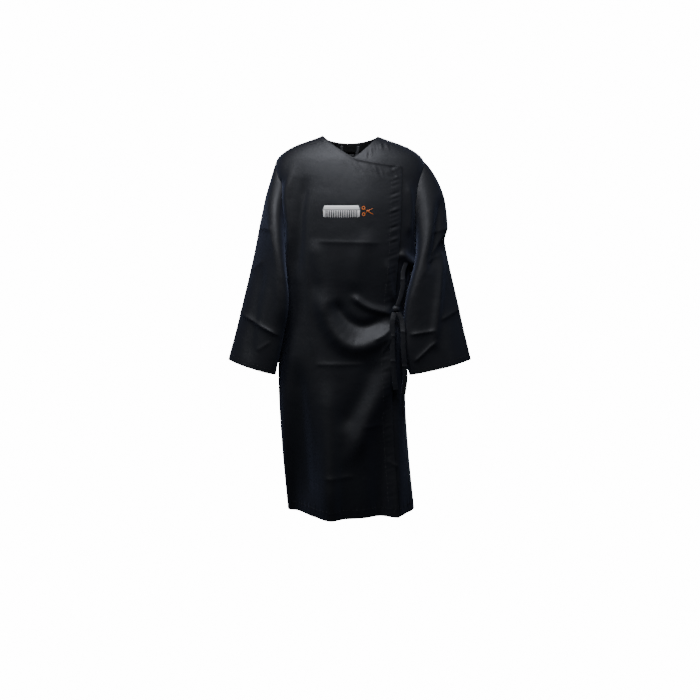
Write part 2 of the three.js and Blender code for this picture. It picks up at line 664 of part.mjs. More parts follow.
const filmOffset = WRAP_GAP + (CLOTH / 2) + 1.2;
const accentX = EMBLEM.x + ((EMBLEM.width - EMBLEM.accentWidth) / 2);
const markWidth = EMBLEM.width - EMBLEM.accentWidth - 6;
add('chest_emblem', bodyPatch(EMBLEM.x - ((EMBLEM.width - markWidth) / 2), EMBLEM.z, markWidth, EMBLEM.height,
  filmOffset, 6, 2, false), WHITE_FILM, 0.5);
add('chest_emblem_accent', bodyPatch(accentX, EMBLEM.z, EMBLEM.accentWidth, EMBLEM.height,
  filmOffset, 3, 2, false), ORANGE_FILM, 0.5);

export default gown;
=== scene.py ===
"""A barber's or salon's client gown: black woven polyester, wrapped over in front and tied at the waist.

Metres throughout: x to the wearer's left, y to the back, z up from the side of the neck.
"""
import json
import math

import bmesh
import bpy
import numpy as np
from mathutils import Matrix, Vector


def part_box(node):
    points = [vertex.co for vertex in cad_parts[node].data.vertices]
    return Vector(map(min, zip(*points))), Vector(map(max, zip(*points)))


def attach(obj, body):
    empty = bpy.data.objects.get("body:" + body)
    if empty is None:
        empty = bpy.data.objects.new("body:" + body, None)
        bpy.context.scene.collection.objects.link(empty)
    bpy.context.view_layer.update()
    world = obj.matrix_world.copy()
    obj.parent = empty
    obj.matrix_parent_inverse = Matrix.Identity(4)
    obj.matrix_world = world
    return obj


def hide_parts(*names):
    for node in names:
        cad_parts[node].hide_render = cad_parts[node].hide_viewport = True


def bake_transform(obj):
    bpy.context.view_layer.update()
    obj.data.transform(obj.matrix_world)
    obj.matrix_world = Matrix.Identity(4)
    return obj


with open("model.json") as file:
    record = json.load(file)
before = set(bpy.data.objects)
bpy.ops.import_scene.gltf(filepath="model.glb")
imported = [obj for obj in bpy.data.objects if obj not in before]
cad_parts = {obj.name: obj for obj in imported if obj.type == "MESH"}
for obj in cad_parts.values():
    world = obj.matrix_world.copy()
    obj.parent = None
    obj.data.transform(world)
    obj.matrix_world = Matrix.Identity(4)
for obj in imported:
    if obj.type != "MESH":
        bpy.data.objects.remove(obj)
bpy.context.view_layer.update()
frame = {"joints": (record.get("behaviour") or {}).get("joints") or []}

MM = 0.001

# ------------------------------------------------------------------ sizes, in metres
BACK_LOW, BACK_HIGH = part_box("back_panel")
HEM_Z = BACK_LOW.z + 0.0005
KNOT_LOW, KNOT_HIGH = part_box("tie_knot")
KNOT = (KNOT_LOW + KNOT_HIGH) / 2
NECK_HALF = 0.077
SHOULDER_HALF = BACK_HIGH.x
SHOULDER_Z = -0.068
ARMHOLE_Z = -0.330
ARMHOLE_DEPTH = 0.052
SIDE_Y = 0.010
POWER = 2.3                    # of the superellipse that every section of the body is
TIE_Z = KNOT.z
HIP_Z = -0.660
CUFF_Z_OUTER = -0.621
CUFF_Z_INNER = -0.657
CUFF_DEPTH = 0.036
SLEEVE_LENGTH = 0.57

CLOTH = 0.6 * MM
OVERLAP = 4.0 * MM             # the outer front lies this far over the inner one
HEM_HEIGHT = 25 * MM
CUFF_HEM = 18 * MM
BAND_WIDTH = 27 * MM
FACING_WIDTH = 26 * MM
TIE_WIDTH = 15 * MM
TIE_THICKNESS = 1.4 * MM


def smooth(value, low, high):
    share = np.clip((value - low) / (high - low), 0, 1)
    return share * share * (3 - 2 * share)


def mix(a, b, share):
    return a + (b - a) * share


def through(pairs):
    """A smooth curve through (place, value) pairs, read at any places."""
    pairs = sorted(pairs)
    place = np.array([p[0] for p in pairs], float)
    value = np.array([p[1] for p in pairs], float)
    slope = np.empty_like(value)
    slope[1:-1] = (value[2:] - value[:-2]) / (place[2:] - place[:-2])
    slope[0] = (value[1] - value[0]) / (place[1] - place[0])
    slope[-1] = (value[-1] - value[-2]) / (place[-1] - place[-2])

    def read(at):
        at = np.clip(np.asarray(at, float), place[0], place[-1])
        i = np.clip(np.searchsorted(place, at, side="right") - 1, 0, len(place) - 2)
        step = place[i + 1] - place[i]
        t = (at - place[i]) / step
        first = (2 * t**3 - 3 * t**2 + 1) * value[i] + (t**3 - 2 * t**2 + t) * step * slope[i]
        last = (3 * t**2 - 2 * t**3) * value[i + 1] + (t**3 - t**2) * step * slope[i + 1]
        return first + last

    return read


# ------------------------------------------------------------------ the body's shape
SHOULDERS = [
    (0, NECK_HALF),
    (-0.032, 0.165),
    (SHOULDER_Z, SHOULDER_HALF),
    (-0.138, SHOULDER_HALF - 0.002),
    (-0.200, SHOULDER_HALF - 0.007),
]
free_side = through(SHOULDERS + [
    (ARMHOLE_Z, 0.188), (TIE_Z, 0.196), (HIP_Z, 0.205), (-0.860, 0.197), (HEM_Z, 0.181)])
tied_side = through(SHOULDERS + [
    (ARMHOLE_Z, 0.186), (-0.430, 0.168), (TIE_Z, 0.159), (-0.560, 0.159),
    (-0.740, 0.159), (-0.900, 0.170), (HEM_Z, 0.187)])
front_depth = through([
    (0, 0.048), (-0.032, 0.066), (SHOULDER_Z, 0.082), (-0.138, 0.098), (-0.200, 0.106),
    (ARMHOLE_Z, 0.108), (TIE_Z, 0.100), (HIP_Z, 0.110), (HEM_Z, 0.124)])
back_depth = through([
    (0, 0.060), (-0.032, 0.076), (SHOULDER_Z, 0.092), (-0.138, 0.106), (-0.200, 0.112),
    (ARMHOLE_Z, 0.112), (TIE_Z, 0.106), (HIP_Z, 0.116), (HEM_Z, 0.124)])


def half_width(x, z):
    return np.where(x < 0, free_side(z), tied_side(z))


def section_depth(y, z):
    return np.where(y > SIDE_Y, back_depth(z), front_depth(z))


def body_point(angle, z):
    """Angle 0 is the middle of the front, -90 and 90 the side seams, 180 the middle of the back."""
    turn = np.radians(angle)
    across, along = np.sin(turn), np.cos(turn)
    x = np.sign(across) * half_width(across, z) * np.abs(across) ** (2 / POWER)
    y = SIDE_Y - np.sign(along) * section_depth(SIDE_Y - along, z) * np.abs(along) ** (2 / POWER)
    return np.stack([x, y, z + 0 * x], axis=-1)


def body_reach(side, y, z):
    share = np.abs(y - SIDE_Y) / section_depth(y, z)
    return half_width(side, z) * np.clip(1 - share**POWER, 0, 1) ** (1 / POWER)


def body_normal(point):
    def level(p):
        reach = np.abs(p[..., 0]) / half_width(p[..., 0], p[..., 2])
        deep = np.abs(p[..., 1] - SIDE_Y) / section_depth(p[..., 1], p[..., 2])
        return reach**POWER + deep**POWER

    step = 0.5 * MM
    slopes = [level(point + step * axis) - level(point - step * axis) for axis in np.eye(3)]
    normal = np.stack(slopes, axis=-1)
    return normal / np.linalg.norm(normal, axis=-1, keepdims=True)


def angle_at(x, z):
    share = np.clip(np.abs(x) / half_width(x, z), 0, 1)
    return np.sign(x) * np.degrees(np.arcsin(share ** (POWER / 2)))


ARM_MIDDLE = (SHOULDER_Z + ARMHOLE_Z) / 2
ARM_HALF = (SHOULDER_Z - ARMHOLE_Z) / 2


def armhole_inset(back, z):
    """Degrees that the armhole takes from a panel's side edge."""
    share = np.clip((z - ARM_MIDDLE) / ARM_HALF, -1, 1)
    opening = ARMHOLE_DEPTH * np.sqrt(1 - share**2)
    depth = back_depth(z) if back else front_depth(z)
    return np.degrees(np.arcsin(np.clip(opening / depth, 0, 1) ** (POWER / 2)))


# ------------------------------------------------------------------ folds and creases
def curve(route, count=15):
    """Evenly spaced points of a smooth line through a route's places."""
    route = np.array(route, float)
    steps = np.linalg.norm(np.diff(route, axis=0), axis=1)
    walked = np.concatenate([[0], np.cumsum(steps)])
    at = np.linspace(0, walked[-1], count)
    return np.stack([through(list(zip(walked, route[:, k])))(at) for k in range(route.shape[1])], axis=-1)


def fold(x, z, route, width, height, crisp=False):
    """A ridge (or with a negative height a hollow) along a route on the front or back of the gown."""
    points = curve(route) if len(route) > 2 else np.array(route, float)
    steps = np.linalg.norm(np.diff(points, axis=0), axis=1)
    total = steps.sum()
    nearest = np.full(np.shape(x), 1e9)
    along = np.zeros(np.shape(x))
    walked = 0.0
    for start, end, length in zip(points[:-1], points[1:], steps):
        way = (end - start) / length
        t = np.clip((x - start[0]) * way[0] + (z - start[1]) * way[1], 0, length)
        away = np.hypot(x - start[0] - way[0] * t, z - start[1] - way[1] * t)
        closer = away < nearest
        nearest = np.where(closer, away, nearest)
        along = np.where(closer, (walked + t) / total, along)
        walked += length
    ends = smooth(along, 0, 0.22) * (1 - smooth(along, 0.78, 1))
    if crisp:
        return height * ends * np.exp(-nearest / width)
    return height * ends * np.exp(-((nearest / width) ** 2))


def pucker(away, along, seed, height=0.9 * MM, reach=9 * MM, pitch=11 * MM):
    """Small waves that a line of stitching draws into the cloth on both sides of it."""
    pick = np.random.default_rng(seed)
    wave = np.zeros(np.shape(along))
    for share in (0.85, 1.25, 1.8):
        phase = pick.uniform(0, 6)
        drift = 0.9 * np.sin(along / 0.03 + phase)
        wave = wave + np.sin(2 * math.pi * along / (pitch * share) + phase + drift)
    return height / 1.7 * wave * np.exp(-((away / reach) ** 2))


def ripple(x, z, seed, height, longest=0.26, shortest=0.07, count=9):
    """Low, soft unevenness of hanging cloth, mostly upright."""
    pick = np.random.default_rng(seed)
    total = np.zeros(np.shape(x))
    for _ in range(count):
        length = pick.uniform(shortest, longest)
        lean = pick.normal(0, 0.45)
        phase = pick.uniform(0, 2 * math.pi)
        way = (x * math.cos(lean) + z * 0.45 * math.sin(lean)) / length
        total = total + math.sqrt(length / longest) * np.sin(2 * math.pi * way + phase)
    return height * total / math.sqrt(count)


# Each fold: its route as (x, z), its width, its height (negative in a hollow) and whether it is crisp.
FRONT_FOLDS = [
    # along the arm on the free side: a roll over the underarm and the deep hollow beside it
    ([(-0.150, -0.070), (-0.168, -0.160), (-0.160, -0.260), (-0.170, -0.350), (-0.180, -0.430)],
     13 * MM, 10 * MM, False),
    ([(-0.116, -0.100), (-0.132, -0.200), (-0.138, -0.290), (-0.152, -0.400)], 15 * MM, -7 * MM, False),
    ([(-0.190, -0.110), (-0.192, -0.220)], 8 * MM, -5 * MM, False),
    # the pinch under the arm on the tied side
    ([(0.136, -0.312), (0.162, -0.342), (0.188, -0.356)], 13 * MM, 10 * MM, False),
    ([(0.158, -0.120), (0.166, -0.200), (0.160, -0.280)], 10 * MM, 5 * MM, False),
    # the chest bends to the plane of the belly
    ([(-0.098, -0.270), (-0.082, -0.360), (-0.055, -0.450), (-0.040, -0.490)], 20 * MM, 7 * MM, False),
    # pulls to the tie
    ([(-0.088, -0.400), (-0.068, -0.480), (-0.036, -0.548), (0.012, -0.578), (0.074, -0.560),
      (0.108, -0.524), (0.128, -0.484)], 24 * MM, 16 * MM, False),
    ([(-0.048, -0.440), (-0.010, -0.500), (0.040, -0.520), (0.106, -0.496)], 16 * MM, -10 * MM, False),
    ([(0.000, -0.430), (0.040, -0.462), (0.082, -0.478), (0.122, -0.486)], 10 * MM, 8 * MM, False),
    ([(0.122, -0.502), (0.092, -0.540), (0.056, -0.562)], 5 * MM, 2.6 * MM, False),
    ([(0.124, -0.508), (0.106, -0.556), (0.078, -0.606)], 5 * MM, 2.4 * MM, False),
    ([(0.124, -0.516), (0.114, -0.580), (0.104, -0.650)], 5 * MM, 2.2 * MM, False),
    ([(0.130, -0.480), (0.122, -0.570), (0.098, -0.670), (0.050, -0.780), (-0.010, -0.930)],
     26 * MM, 14 * MM, False),
    ([(0.070, -0.600), (0.036, -0.700), (-0.030, -0.820)], 26 * MM, -8 * MM, False),
    ([(0.098, -0.330), (0.106, -0.400), (0.121, -0.460)], 9 * MM, 4 * MM, False),
    # creases pressed in while it was packed
    ([(-0.100, -0.287), (0.092, -0.291)], 6 * MM, 2.2 * MM, True),
    ([(-0.120, -0.300), (-0.110, -0.500), (-0.098, -0.640)], 6 * MM, 2.2 * MM, True),
    ([(-0.105, -0.626), (0.044, -0.624)], 6 * MM, 2.6 * MM, True),
    ([(-0.085, -0.942), (0.016, -0.940)], 6 * MM, 2.6 * MM, True),
    ([(0.098, -0.900), (0.140, -0.921)], 5 * MM, 2.4 * MM, True),
    ([(0.030, -0.800), (0.095, -0.797)], 6 * MM, 1.6 * MM, True),
    # soft drapes of the skirt
    ([(-0.150, -0.600), (-0.128, -0.850), (-0.110, -1.062)], 20 * MM, -9 * MM, False),
    ([(-0.060, -0.660), (-0.064, -0.850), (-0.056, -1.062)], 30 * MM, 7 * MM, False),
    ([(0.060, -0.250), (0.020, -0.350), (0.010, -0.430)], 26 * MM, 4 * MM, False),
]
BACK_FOLDS = [
    ([(-0.110, -0.120), (-0.120, -0.330), (-0.100, -0.560)], 22 * MM, 5 * MM, False),
    ([(0.105, -0.120), (0.118, -0.320), (0.120, -0.480)], 20 * MM, 5 * MM, False),
    ([(0.130, -0.470), (0.060, -0.500), (-0.030, -0.540)], 12 * MM, 6 * MM, False),
    ([(0.140, -0.500), (0.080, -0.560), (0.020, -0.660)], 12 * MM, 5 * MM, False),
    ([(-0.150, -0.290), (0.150, -0.293)], 6 * MM, 1.7 * MM, True),
    ([(-0.150, -0.636), (0.140, -0.633)], 6 * MM, 2.0 * MM, True),
    ([(-0.150, -0.940), (0.150, -0.944)], 6 * MM, 2.0 * MM, True),
    ([(0.000, -0.100), (0.003, -0.600), (0.000, -1.045)], 7 * MM, 1.9 * MM, True),
]
# How far the skirt's hem stands in front of (-) or behind (+) a plain section, across the gown.
skirt_lobes = through([
    (-0.185, 0.0), (-0.149, 0.048), (-0.102, 0.012), (-0.056, -0.026), (-0.016, 0.000),
    (0.040, 0.010), (0.086, 0.026), (0.137, -0.014), (0.165, 0.006), (0.190, 0.0)])


def panel_surface(angle, z, layer):
    """Points of a body panel at a distance over the body's plain shape, with its folds."""
    angle, z = np.broadcast_arrays(np.asarray(angle, float), np.asarray(z, float))
    point = body_point(angle, z)
    normal = body_normal(point)
    x = point[..., 0]
    at_side = smooth(np.abs(np.abs(angle) - 90), 0, 14)
    front = np.abs(angle) < 90
    relief = np.zeros(np.shape(x))
    for route, width, height, crisp in FRONT_FOLDS:
        relief = relief + np.where(front, fold(x, z, route, width, height, crisp), 0)
    for route, width, height, crisp in BACK_FOLDS:
        relief = relief + np.where(front, 0, fold(x, z, route, width, height, crisp))
    relief = relief + pucker(z - HEM_Z - HEM_HEIGHT, angle * 3.1 * MM, 31, 0.8 * MM)
    loose = smooth(-z, 0.10, 0.30)
    uneven = np.where(front, ripple(x, z, 4, 1.6 * MM), ripple(x, z, 9, 2.6 * MM))
    relief = relief + mix(0.5, 1.0, loose) * uneven
    fall = smooth(-z, 0.56, -HEM_Z) ** 1.2
    lobes = np.where(front, skirt_lobes(x), 0.013 * np.cos(x * 58 + 0.6) * np.cos(x * 9))
    point = point + normal * (relief * at_side + layer)[..., None]
    point[..., 1] += lobes * fall * at_side
    return point


# ------------------------------------------------------------------ necklines and edges
outer_neck = through([
    (-NECK_HALF, 0), (-0.035, -0.035), (0.008, -0.061), (0.033, -0.069), (0.085, -0.078), (0.143, -0.084)])
inner_neck = through([(NECK_HALF, 0), (0.045, -0.032), (0.008, -0.061), (-0.040, -0.077), (-0.130, -0.092)])
outer_edge_x = through([
    (-0.080, 0.141), (-0.300, 0.133), (TIE_Z, 0.119), (-0.600, 0.112), (-0.740, 0.114), (HEM_Z, 0.137)])
INNER_EDGE = -38.0             # degrees round the body, hidden under the outer front
BACK_NECK_DROP = 14 * MM


def back_neck(x):
    return -BACK_NECK_DROP * np.clip(1 - (x / NECK_HALF) ** 2, 0, 1)


def neck_height(line, angle, lowered=0.0, angle_of=None):
    """Height where a neckline, lowered by a distance, crosses a line down the body.

    The line keeps to one angle unless angle_of gives its angle at each height.
    """
    high = np.zeros(np.shape(angle))
    low = np.full(np.shape(angle), -0.3)
    for _ in range(36):
        middle = (high + low) / 2
        here = angle_of(middle) if angle_of else angle
        above = middle > line(body_point(here, middle)[..., 0]) - lowered
        high = np.where(above, middle, high)
        low = np.where(above, low, middle)
    return (high + low) / 2


def outer_edge_angle(z):
    return angle_at(outer_edge_x(z), z)


def outer_layer(angle, z):
    """How far the outer front lies over the inner one, with the puckers beside its stitching."""
    x = body_point(angle, z)[..., 0]
    wrinkled = 0.30 + 0.70 * np.exp(-(((z + 0.22) / 0.10) ** 2))
    slant = z + 0.35 * (outer_edge_x(z) - x)
    edge = pucker(outer_edge_x(z) - x - BAND_WIDTH * 0.62, slant, 5, 1.0 * MM * wrinkled, 12 * MM, 15 * MM)
    across = smooth(x, -0.02, 0.06)
    below_neck = outer_neck(x) - z
    drawn = mix(0.3, 0.8, across) * MM
    neck = pucker(below_neck - FACING_WIDTH * 0.8, x + 0.5 * z, 8, drawn, 11 * MM, 14 * MM)
    rolled = 1.4 * MM * np.exp(-((below_neck / (4 * MM)) ** 2))
    return OVERLAP * smooth(angle, -84, -55) + edge + neck + rolled


def inner_layer(angle, z):
    x = body_point(angle, z)[..., 0]
    return pucker(inner_neck(x) - z - FACING_WIDTH, x, 12, 1.0 * MM, 9 * MM)


# ------------------------------------------------------------------ making cloth
def finish_mesh(shape, name, material, body, thickness=None, offset=0.0, levels=0, rounded=True):
    """Turns a bmesh into a piece that rides on a body (or is left without one when body is None)."""
    mesh = bpy.data.meshes.new(name)
    shape.to_mesh(mesh)
    shape.free()
    mesh.polygons.foreach_set("use_smooth", [rounded] * len(mesh.polygons))
    piece = bpy.data.objects.new(name, mesh)
    bpy.context.scene.collection.objects.link(piece)
    mesh.materials.append(material)
    if levels:
        finer = piece.modifiers.new("finer", "SUBSURF")
        finer.levels = levels
        finer.render_levels = levels
    if thickness:
        wall = piece.modifiers.new("wall", "SOLIDIFY")
        wall.thickness = thickness
        wall.offset = offset
    if body:
        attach(piece, body)
    return piece


def cloth_grid(columns, rows, place, width, length):
    """A grid of cloth: place(across, down) gives its points for shares from 0 to 1."""
    shape = bmesh.new()
    bmesh.ops.create_grid(shape, x_segments=columns, y_segments=rows, size=0.5)
    shares = np.array([v.co[:2] for v in shape.verts]) + 0.5
    points = place(shares[:, 0], 1 - shares[:, 1])
    weave = shape.loops.layers.uv.new("cloth")
    for face in shape.faces:
        for loop in face.loops:
            loop[weave].uv = ((loop.vert.co.x + 0.5) * width, (loop.vert.co.y + 0.5) * length)
    for vert, point in zip(shape.verts, points):
        vert.co = point
    return shape


def facing_out(shape, inside):
    """Turns the faces of an open sheet away from a point inside the gown."""
    middle = Vector(inside)
    votes = 0
    for face in list(shape.faces)[::37]:
        seen = face.calc_center_median()
        level = Vector((middle.x, middle.y, seen.z))
        votes += 1 if face.normal.dot(seen - level) > 0 else -1
    if votes < 0:
        bmesh.ops.reverse_faces(shape, faces=shape.faces)
    return shape


# ------------------------------------------------------------------ materials
def linear(code):
    """An sRGB hex colour as linear values."""
    parts = [int(code[i:i + 2], 16) / 255 for i in (1, 3, 5)]
    return [c / 12.92 if c <= 0.04045 else ((c + 0.055) / 1.055) ** 2.4 for c in parts] + [1.0]


def node(tree, kind, settings=None, links=None):
    """Adds one node, sets its properties or inputs, and links its inputs to other sockets."""
    made = tree.nodes.new(kind)
    for key, value in (settings or {}).items():
        if hasattr(made, key) and key not in made.inputs:
            setattr(made, key, value)
        else:
            made.inputs[key].default_value = value
    for key, socket in (links or {}).items():
        tree.links.new(socket, made.inputs[key])
    return made


def new_material(name):
    material = bpy.data.materials.new(name)
    material.use_nodes = True
    material.node_tree.nodes.clear()
    return material, material.node_tree


PATCH_MM = 1000 / 9            # how far the cloth's faint unevenness of tone reaches


def gown_cloth(name, thread_mm, crumple_mm, shade="#070709"):
    """Black polyester taffeta: filament yarns in plain weave, so a broad grey sheen and fine wrinkles."""
    material, tree = new_material(name)
    place = node(tree, "ShaderNodeTexCoord")
    # A wave texture repeats every 2 pi / 20 of its scale. The threads are drawn coarse enough to show.
    per_thread = 2 * math.pi / (2 * thread_mm * MM) / 20
    along_cloth = {"Vector": place.outputs["UV"]}
    in_space = {"Vector": place.outputs["Object"]}
    warp = node(tree, "ShaderNodeTexWave", {"bands_direction": "X", "Scale": per_thread}, along_cloth)
    weft = node(tree, "ShaderNodeTexWave", {"bands_direction": "Y", "Scale": per_thread}, along_cloth)
    weave = node(tree, "ShaderNodeMath", {"operation": "MULTIPLY"},
                 {0: warp.outputs["Fac"], 1: weft.outputs["Fac"]})
    crumple = node(tree, "ShaderNodeTexNoise",
                   {"Scale": 1 / (crumple_mm * MM), "Detail": 4.0, "Roughness": 0.55}, in_space)
    patches = node(tree, "ShaderNodeTexNoise", {"Scale": 1 / (PATCH_MM * MM), "Detail": 2.0}, in_space)
    tone = node(tree, "ShaderNodeValToRGB", {}, {"Fac": patches.outputs["Fac"]})
    tone.color_ramp.elements[0].color = linear(shade)
    tone.color_ramp.elements[1].color = linear("#0b0c0f")
    rough = node(tree, "ShaderNodeMapRange", {"To Min": 0.50, "To Max": 0.62},
                 {"Value": patches.outputs["Fac"]})
    broad = node(tree, "ShaderNodeTexNoise",
                 {"Scale": 0.32 / (crumple_mm * MM), "Detail": 2.0, "Distortion": 0.6}, in_space)
    wide = node(tree, "ShaderNodeBump", {"Strength": 0.22, "Distance": 7 * MM},
                {"Height": broad.outputs["Fac"]})
    soft = node(tree, "ShaderNodeBump", {"Strength": 0.4, "Distance": 1.4 * MM},
                {"Height": crumple.outputs["Fac"], "Normal": wide.outputs["Normal"]})
    fine = node(tree, "ShaderNodeBump", {"Strength": 0.25, "Distance": 0.15 * MM},
                {"Height": weave.outputs["Value"], "Normal": soft.outputs["Normal"]})
    shader = node(tree, "ShaderNodeBsdfPrincipled",
                  {"IOR": 1.5, "Specular IOR Level": 0.45, "Sheen Weight": 0.28, "Sheen Roughness": 0.5,
                   "Sheen Tint": linear("#8c97b6")},
                  {"Base Color": tone.outputs["Color"], "Roughness": rough.outputs["Result"],
                   "Normal": fine.outputs["Normal"]})
    node(tree, "ShaderNodeOutputMaterial", {}, {"Surface": shader.outputs["BSDF"]})
    return material


def plain_cloth(name, low, high, grain_mm, roughness, sheen):
    """Spun or woven narrow goods: small fibres catch the light unevenly."""
    material, tree = new_material(name)
    place = node(tree, "ShaderNodeTexCoord")
    grain = node(tree, "ShaderNodeTexNoise", {"Scale": 1 / (grain_mm * MM), "Detail": 3.0},
                 {"Vector": place.outputs["Object"]})
    tone = node(tree, "ShaderNodeValToRGB", {}, {"Fac": grain.outputs["Fac"]})
    tone.color_ramp.elements[0].color = linear(low)
    tone.color_ramp.elements[1].color = linear(high)
    bump = node(tree, "ShaderNodeBump", {"Strength": 0.3, "Distance": 0.2 * MM},
                {"Height": grain.outputs["Fac"]})
    shader = node(tree, "ShaderNodeBsdfPrincipled", {"Roughness": roughness, "Sheen Weight": sheen},
                  {"Base Color": tone.outputs["Color"], "Normal": bump.outputs["Normal"]})
    node(tree, "ShaderNodeOutputMaterial", {}, {"Surface": shader.outputs["BSDF"]})
    return material


TAFFETA = gown_cloth("black_polyester_taffeta", thread_mm=0.8, crumple_mm=26)
FOLDED_TAPE = gown_cloth("folded_taffeta_tape", thread_mm=0.8, crumple_mm=12, shade="#0e0e11")
THREAD = plain_cloth("spun_polyester_thread", "#0c0c0e", "#1d1e22", 0.6, 0.65, 0.3)
# Black tape for the back neck. Its colour is darker than the gown's black: painted shade inside the back of
# the neck.
BLACK_TAPE_WITH_PAINTED_SHADE = plain_cloth("matt_black_tape_with_painted_shade", "#020203", "#060607", 0.9, 0.9, 0.0)
LABEL = plain_cloth("black_woven_label", "#101013", "#1c1c20", 0.9, 0.5, 0.2)
WHITE_FILM = plain_cloth("white_transfer_film", "#dedbd6", "#f1efeb", 2.0, 0.5, 0.0)
ORANGE_FILM = plain_cloth("orange_transfer_film", "#d9691c", "#ec8238", 2.0, 0.5, 0.0)

# ------------------------------------------------------------------ body panels
ROOT = "root"
INSIDE = (0, 0.02, 0)          # a point that every panel faces away from
ROW_CROWDING = 1.15            # rows lie closer together near the shoulders


def one_turn(angle):
    """Degrees from the middle of the front, from -180 to 180."""
    return np.where(angle > 180, angle - 360, angle)


def outer_place(across, down):
    def angle_of(z):
        return mix(-90 + armhole_inset(False, z), outer_edge_angle(z), across)

    z = mix(neck_height(outer_neck, across, 0.0, angle_of), HEM_Z, down**ROW_CROWDING)
    angle = angle_of(z)
    return panel_surface(angle, z, outer_layer(angle, z))


def inner_place(across, down):
    nominal = mix(90.0, INNER_EDGE, across)
    z = mix(neck_height(inner_neck, nominal), HEM_Z + 2 * MM, down**ROW_CROWDING)
    start = 90 - armhole_inset(False, z)
    angle = mix(start, INNER_EDGE, across)
    return panel_surface(angle, z, inner_layer(angle, z))


def back_place(across, down):
    nominal = one_turn(mix(90.0, 270.0, across))
    z = mix(neck_height(back_neck, nominal), HEM_Z, down**ROW_CROWDING)
    inset = armhole_inset(True, z)
    angle = mix(90 + inset, 270 - inset, across)
    return panel_surface(one_turn(angle), z, 0 * angle)


def body_panel(name, columns, rows, place, width, body):
    shape = facing_out(cloth_grid(columns, rows, place, width, -HEM_Z), INSIDE)
    return finish_mesh(shape, name, TAFFETA, body, CLOTH)


outer_front = body_panel("outer_front_cloth", 155, 300, outer_place, 0.46, None)
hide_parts("outer_front", "outer_front_corner")
inner_front = body_panel("inner_front_cloth", 120, 270, inner_place, 0.43, ROOT)
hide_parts("inner_front")
back = body_panel("back_cloth", 150, 250, back_place, 0.52, ROOT)
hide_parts("back_panel")

# ------------------------------------------------------------------ sleeves
# Places down a sleeve's outer and inner fold: the share of its length, then x, y and z.
OUTER_FOLDS = {
    "right": [(0, -0.207, 0.010, -0.068), (0.14, -0.2275, 0.002, -0.140), (0.47, -0.2705, -0.012, -0.328),
              (0.78, -0.3115, -0.024, -0.499), (1, -0.342, -0.032, CUFF_Z_OUTER)],
    "left": [(0, 0.207, 0.010, -0.068), (0.07, 0.236, 0.008, -0.094), (0.17, 0.261, 0.004, -0.148),
             (0.34, 0.275, -0.004, -0.247), (0.42, 0.268, -0.008, -0.293), (0.77, 0.313, -0.020, -0.497),
             (1, 0.343, -0.028, CUFF_Z_OUTER)],
}
INNER_FOLDS = {
    "right": [(0, -0.190, 0.010, ARMHOLE_Z), (0.14, -0.181, -0.056, -0.376), (0.36, -0.172, -0.076, -0.448),
              (0.64, -0.184, -0.072, -0.539), (1, -0.208, -0.072, CUFF_Z_INNER)],
    "left": [(0, 0.188, 0.010, ARMHOLE_Z), (0.14, 0.172, -0.038, -0.376), (0.34, 0.155, -0.065, -0.441),
             (0.6, 0.147, -0.072, -0.526), (0.78, 0.147, -0.075, -0.585), (1, 0.167, -0.076, CUFF_Z_INNER)],
}
BEHIND_SHARE = 0.4             # how much of its depth a sleeve keeps behind its inner fold
SIDE_OF = {"right": -1, "left": 1}
SLEEVE_FOLDS = {
    "right": [
        ([(-0.225, -0.120), (-0.208, -0.235), (-0.194, -0.328), (-0.188, -0.430), (-0.190, -0.560)],
         18 * MM, 7 * MM, False),
        ([(-0.256, -0.249), (-0.206, -0.256)], 5 * MM, 4.2 * MM, True),
        ([(-0.282, -0.376), (-0.236, -0.336)], 5 * MM, 3 * MM, True),
        ([(-0.322, -0.478), (-0.188, -0.550)], 6 * MM, 5 * MM, True),
        ([(-0.235, -0.330), (-0.262, -0.480), (-0.285, -0.640)], 16 * MM, -5 * MM, False),
        ([(-0.215, -0.560), (-0.262, -0.590)], 5 * MM, 2 * MM, True),
    ],
    "left": [
        ([(0.262, -0.150), (0.240, -0.275), (0.216, -0.380)], 15 * MM, -11 * MM, False),
        ([(0.232, -0.262), (0.280, -0.252)], 5 * MM, 4 * MM, True),
        ([(0.262, -0.300), (0.236, -0.5225), (0.235, -0.600)], 12 * MM, 8 * MM, False),
        ([(0.246, -0.506), (0.316, -0.472)], 6 * MM, 4.4 * MM, True),
        ([(0.160, -0.543), (0.240, -0.532)], 6 * MM, 4.4 * MM, True),
        ([(0.174, -0.622), (0.242, -0.558)], 6 * MM, 4.4 * MM, True),
        ([(0.216, -0.345), (0.262, -0.318)], 6 * MM, 3.4 * MM, True),
    ],
}


def along_fold(line, down):
    line = np.array(line)
    return np.stack([through(list(zip(line[:, 0], line[:, k])))(down) for k in (1, 2, 3)], axis=-1)


def sleeve_base(name, turn, down):
    """A sleeve's plain tube: turn 0 is its outer fold, half a turn its inner fold, down 0 the armhole."""
    side = SIDE_OF[name]
    arm_z = ARM_MIDDLE + ARM_HALF * np.cos(turn)
    arm_y = SIDE_Y + ARMHOLE_DEPTH * np.sin(turn)
    reach = body_reach(side + 0 * arm_y, arm_y, arm_z)
    start = np.stack([side * reach, arm_y, arm_z], axis=-1)
    outer = along_fold(OUTER_FOLDS[name], down)
    inner = along_fold(INNER_FOLDS[name], down)
    lean = np.cos(turn)
    flat = mix(0.5, 0.82, smooth(down, 0.05, 0.5) * smooth(lean, -0.2, 0.7))
    rise = np.sin(turn)
    thick = mix(ARMHOLE_DEPTH, CUFF_DEPTH, down) * np.sign(rise) * np.abs(rise) ** (2 * flat)
    thick = thick * np.where(thick > 0, mix(BEHIND_SHARE, 1, (1 + lean) / 2), 1)
    ring = (outer + inner) / 2 + (outer - inner) / 2 * lean[..., None]
    ring[..., 1] += thick
    return mix(start, ring, smooth(down, 0, 0.22)[..., None])


